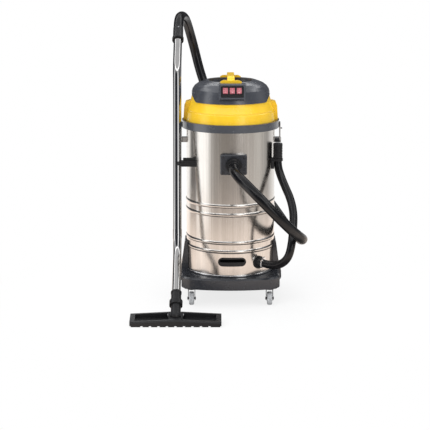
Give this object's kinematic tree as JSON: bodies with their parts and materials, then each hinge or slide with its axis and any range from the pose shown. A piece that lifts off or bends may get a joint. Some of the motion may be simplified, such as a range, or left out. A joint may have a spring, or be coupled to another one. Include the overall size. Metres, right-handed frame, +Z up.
{
  "type": "shop vacuum",
  "caption": "Wet and dry shop vacuum: steel tank on a castor dolly, lift-off motor head with rocker switches, suction hose, bent wand, tilting floor tool and drain hose.",
  "frame": {"origin": "on the floor under the tank's axis, at the height of the castors' treads", "axes": "+Z up, the front with the inlet and switches faces -Y, the wand hangs on the -X side"},
  "size_m": [0.7655, 1.1483, 1.2744],
  "materials": {
    "stainless": "polished, fine vertical grain",
    "bright_hoop": "bright rolled steel",
    "charcoal_plastic": "fine moulded texture, satin",
    "black_plastic": "moulded, satin",
    "black_hose": "smooth flexible hose, semi-gloss",
    "chrome": "bright plated",
    "zinc_steel": "zinc plated, satin",
    "grey_wheel": "light grey, matt tread",
    "yellow_plastic": "moulded, semi-gloss",
    "red_rocker": "translucent red, gloss",
    "black_rubber": "matt",
    "motor_case": "die cast",
    "rotor": "laminations and windings",
    "float": "hollow moulded float",
    "filter_cloth": "woven filter cloth",
    "foam": "open cell foam"
  },
  "bodies": {
    "chassis": {"tank_shell": "stainless", "tank_floor": "stainless", "base_hoop": "bright_hoop", "inlet_plate": "charcoal_plastic", "inlet_socket": "black_plastic", "inlet_deflector": "black_plastic", "hose_cuff_machine": "black_plastic", "tip_grip": "black_plastic", "drain_outlet": "black_plastic", "drain_hose_clamp": "chrome", "drain_hose": "black_hose", "drain_clip": "black_plastic", "wand_lower_tube": "chrome", "wand_upper_tube": "chrome", "hose_cuff_wand": "black_plastic", "wand_clip": "black_plastic", "suction_hose": "black_hose", "tool_neck": "black_plastic", "dolly_base": "charcoal_plastic", "castor_plates": "zinc_steel", "latch_bases": "chrome", "tank_fasteners": "zinc_steel"},
    "head": {"motor_pan": "charcoal_plastic", "head_gasket": "black_rubber", "motor_seals": "black_rubber", "head_housing": "yellow_plastic", "cord_gland": "black_plastic", "top_cover": "charcoal_plastic", "carry_handle": "yellow_plastic", "switch_bezel": "black_plastic", "motor_1": "motor_case", "motor_2": "motor_case", "motor_3": "motor_case", "muffler_foam": "foam", "float_cage": "black_plastic", "filter_ring": "black_plastic", "filter_bag": "filter_cloth", "head_screws": "zinc_steel"},
    "bayonet_ring": {"bayonet_ring": "black_plastic"},
    "drain_plug": {"drain_plug": "black_plastic"},
    "floor_tool": {"floor_tool_body": "black_plastic", "tool_pivot_pins": "zinc_steel", "tool_squeegees": "black_rubber"},
    "float_ball": {"float_ball": "float"},
    "latch_left": {"latch_left": "chrome"},
    "latch_right": {"latch_right": "chrome"},
    "switch_rocker_1": {"switch_rocker_1": "red_rocker"},
    "rotor_1": {"rotor_1": "rotor"},
    "switch_rocker_2": {"switch_rocker_2": "red_rocker"},
    "rotor_2": {"rotor_2": "rotor"},
    "switch_rocker_3": {"switch_rocker_3": "red_rocker"},
    "rotor_3": {"rotor_3": "rotor"},
    "castor_fork_front_left": {"castor_fork_front_left": "zinc_steel"},
    "castor_wheel_front_left": {"castor_wheel_front_left": "grey_wheel"},
    "castor_fork_front_right": {"castor_fork_front_right": "zinc_steel"},
    "castor_wheel_front_right": {"castor_wheel_front_right": "grey_wheel"},
    "castor_fork_rear_left": {"castor_fork_rear_left": "zinc_steel"},
    "castor_wheel_rear_left": {"castor_wheel_rear_left": "grey_wheel"},
    "castor_fork_rear_right": {"castor_fork_rear_right": "zinc_steel"},
    "castor_wheel_rear_right": {"castor_wheel_rear_right": "grey_wheel"}
  },
  "joints": [
    {"name": "head_lift", "type": "slide", "parent": "chassis", "child": "head", "axis": [0, 0, 1], "range_m": [0, 0.25]},
    {"name": "latch_left_swing", "type": "hinge", "parent": "chassis", "child": "latch_left", "pos_m": [-0.222, 0, 0.722], "axis": [0, -1, 0], "range_deg": [0, 121]},
    {"name": "latch_right_swing", "type": "hinge", "parent": "chassis", "child": "latch_right", "pos_m": [0.222, 0, 0.722], "axis": [0, 1, 0], "range_deg": [0, 121]},
    {"name": "bayonet_turn", "type": "hinge", "parent": "chassis", "child": "bayonet_ring", "pos_m": [0.011, -0.25, 0.644], "axis": [0, -1, 0], "range_deg": [0, 30]},
    {"name": "drain_plug_pull", "type": "slide", "parent": "chassis", "child": "drain_plug", "axis": [0, 0, 1], "range_m": [0, 0.03]},
    {"name": "floor_tool_tilt", "type": "hinge", "parent": "chassis", "child": "floor_tool", "pos_m": [-0.2375, -0.47778, 0.04151], "axis": [1, 0, 0], "range_deg": [-20, 25]},
    {"name": "float_rise", "type": "slide", "parent": "head", "child": "float_ball", "axis": [0, 0, 1], "range_m": [0, 0.06]},
    {"name": "switch_1_rock", "type": "hinge", "parent": "head", "child": "switch_rocker_1", "pos_m": [-0.025, -0.17637, 0.96101], "axis": [1, 0, 0], "range_deg": [0, 16]},
    {"name": "switch_2_rock", "type": "hinge", "parent": "head", "child": "switch_rocker_2", "pos_m": [0.005, -0.17637, 0.96101], "axis": [1, 0, 0], "range_deg": [0, 16]},
    {"name": "switch_3_rock", "type": "hinge", "parent": "head", "child": "switch_rocker_3", "pos_m": [0.035, -0.17637, 0.96101], "axis": [1, 0, 0], "range_deg": [0, 16]},
    {"name": "rotor_1_spin", "type": "hinge", "parent": "head", "child": "rotor_1", "pos_m": [0, 0.086, 0.86], "axis": [0, 0, 1], "continuous": true},
    {"name": "rotor_2_spin", "type": "hinge", "parent": "head", "child": "rotor_2", "pos_m": [-0.07448, -0.043, 0.86], "axis": [0, 0, 1], "continuous": true},
    {"name": "rotor_3_spin", "type": "hinge", "parent": "head", "child": "rotor_3", "pos_m": [0.07448, -0.043, 0.86], "axis": [0, 0, 1], "continuous": true},
    {"name": "castor_front_left_swivel", "type": "hinge", "parent": "chassis", "child": "castor_fork_front_left", "pos_m": [-0.175, -0.162, 0.07], "axis": [0, 0, 1], "continuous": true},
    {"name": "castor_front_left_roll", "type": "hinge", "parent": "castor_fork_front_left", "child": "castor_wheel_front_left", "pos_m": [-0.175, -0.182, 0.03], "axis": [1, 0, 0], "continuous": true},
    {"name": "castor_front_right_swivel", "type": "hinge", "parent": "chassis", "child": "castor_fork_front_right", "pos_m": [0.175, -0.162, 0.07], "axis": [0, 0, 1], "continuous": true},
    {"name": "castor_front_right_roll", "type": "hinge", "parent": "castor_fork_front_right", "child": "castor_wheel_front_right", "pos_m": [0.175, -0.182, 0.03], "axis": [1, 0, 0], "continuous": true},
    {"name": "castor_rear_left_swivel", "type": "hinge", "parent": "chassis", "child": "castor_fork_rear_left", "pos_m": [-0.175, 0.162, 0.07], "axis": [0, 0, 1], "continuous": true},
    {"name": "castor_rear_left_roll", "type": "hinge", "parent": "castor_fork_rear_left", "child": "castor_wheel_rear_left", "pos_m": [-0.175, 0.142, 0.03], "axis": [1, 0, 0], "continuous": true},
    {"name": "castor_rear_right_swivel", "type": "hinge", "parent": "chassis", "child": "castor_fork_rear_right", "pos_m": [0.175, 0.162, 0.07], "axis": [0, 0, 1], "continuous": true},
    {"name": "castor_rear_right_roll", "type": "hinge", "parent": "castor_fork_rear_right", "child": "castor_wheel_rear_right", "pos_m": [0.175, 0.142, 0.03], "axis": [1, 0, 0], "continuous": true}
  ],
  "couplings": [
    {"joint": "latch_left_swing", "follows": "head_lift", "rad_per_m": 8.4},
    {"joint": "latch_right_swing", "follows": "head_lift", "rad_per_m": 8.4}
  ]
}
